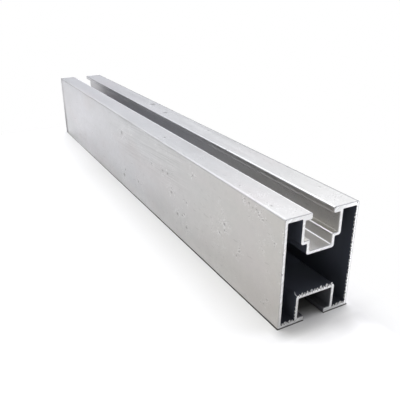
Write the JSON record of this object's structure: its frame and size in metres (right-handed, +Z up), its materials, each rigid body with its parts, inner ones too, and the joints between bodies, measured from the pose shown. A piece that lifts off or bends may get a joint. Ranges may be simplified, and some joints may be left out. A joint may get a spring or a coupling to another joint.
{
  "type": "solar mounting rail",
  "caption": "Short length of hollow extruded aluminium rail, with a clamp-bolt slot and stepped pocket along its top and a bolt channel along its underside, sawn square at both ends.",
  "frame": {"origin": "under the middle of the rail, centred in its width and length, on the plane that its two feet stand on", "axes": "+Z up towards the clamp slot, +Y along the rail away from the end that the picture shows, +X across it"},
  "size_m": [0.04, 0.36, 0.054],
  "materials": {
    "anodised_aluminium": "matt natural anodised, drawn surface with fine lines along the rail, bare saw-cut ends"
  },
  "bodies": {
    "root": {"mounting_rail": "anodised_aluminium"}
  },
  "joints": []
}
